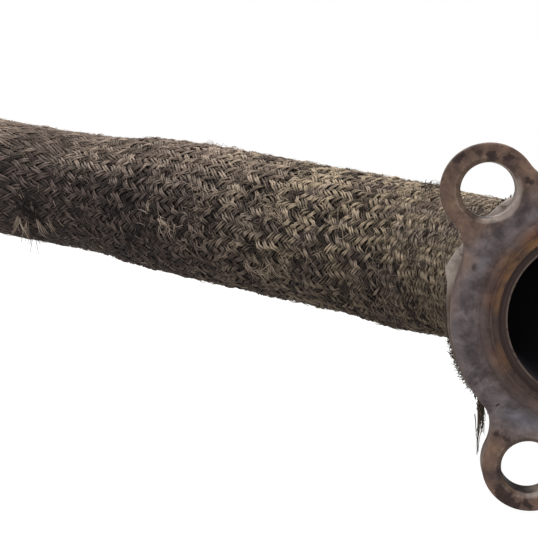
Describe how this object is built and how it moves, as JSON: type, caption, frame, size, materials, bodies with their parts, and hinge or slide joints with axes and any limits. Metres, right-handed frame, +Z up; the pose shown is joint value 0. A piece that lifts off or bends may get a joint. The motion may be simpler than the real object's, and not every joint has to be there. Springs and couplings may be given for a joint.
{
  "type": "egr pipe",
  "caption": "Bent steel exhaust gas recirculation pipe with a bellows, a braided heat sleeve and a three-eared bolt flange welded to each end.",
  "frame": {"origin": "centre of the bore on the near flange's mounting face", "axes": "+Y from the near mounting face into the pipe, the pipe bends towards -X in the horizontal plane, +Z up"},
  "size_m": [0.2287, 0.1423, 0.061],
  "materials": {
    "flange_steel": "worn, heat tinted and sooty",
    "weld": "rust and heat tint",
    "tube_steel": "dull, sooty inside",
    "collar_steel": "dull pressed sheet",
    "braid": "worn braided mineral fibre"
  },
  "bodies": {
    "root": {"near_flange": "flange_steel", "far_flange": "flange_steel", "near_face_weld": "weld", "far_face_weld": "weld", "near_back_weld": "weld", "far_back_weld": "weld", "near_cuff_weld": "weld", "far_cuff_weld": "weld", "near_collar": "collar_steel", "far_collar": "collar_steel", "near_spigot": "tube_steel", "near_elbow": "tube_steel", "near_run": "tube_steel", "far_pipe": "tube_steel", "bellows": "tube_steel", "braided_sleeve": "braid"}
  },
  "joints": []
}
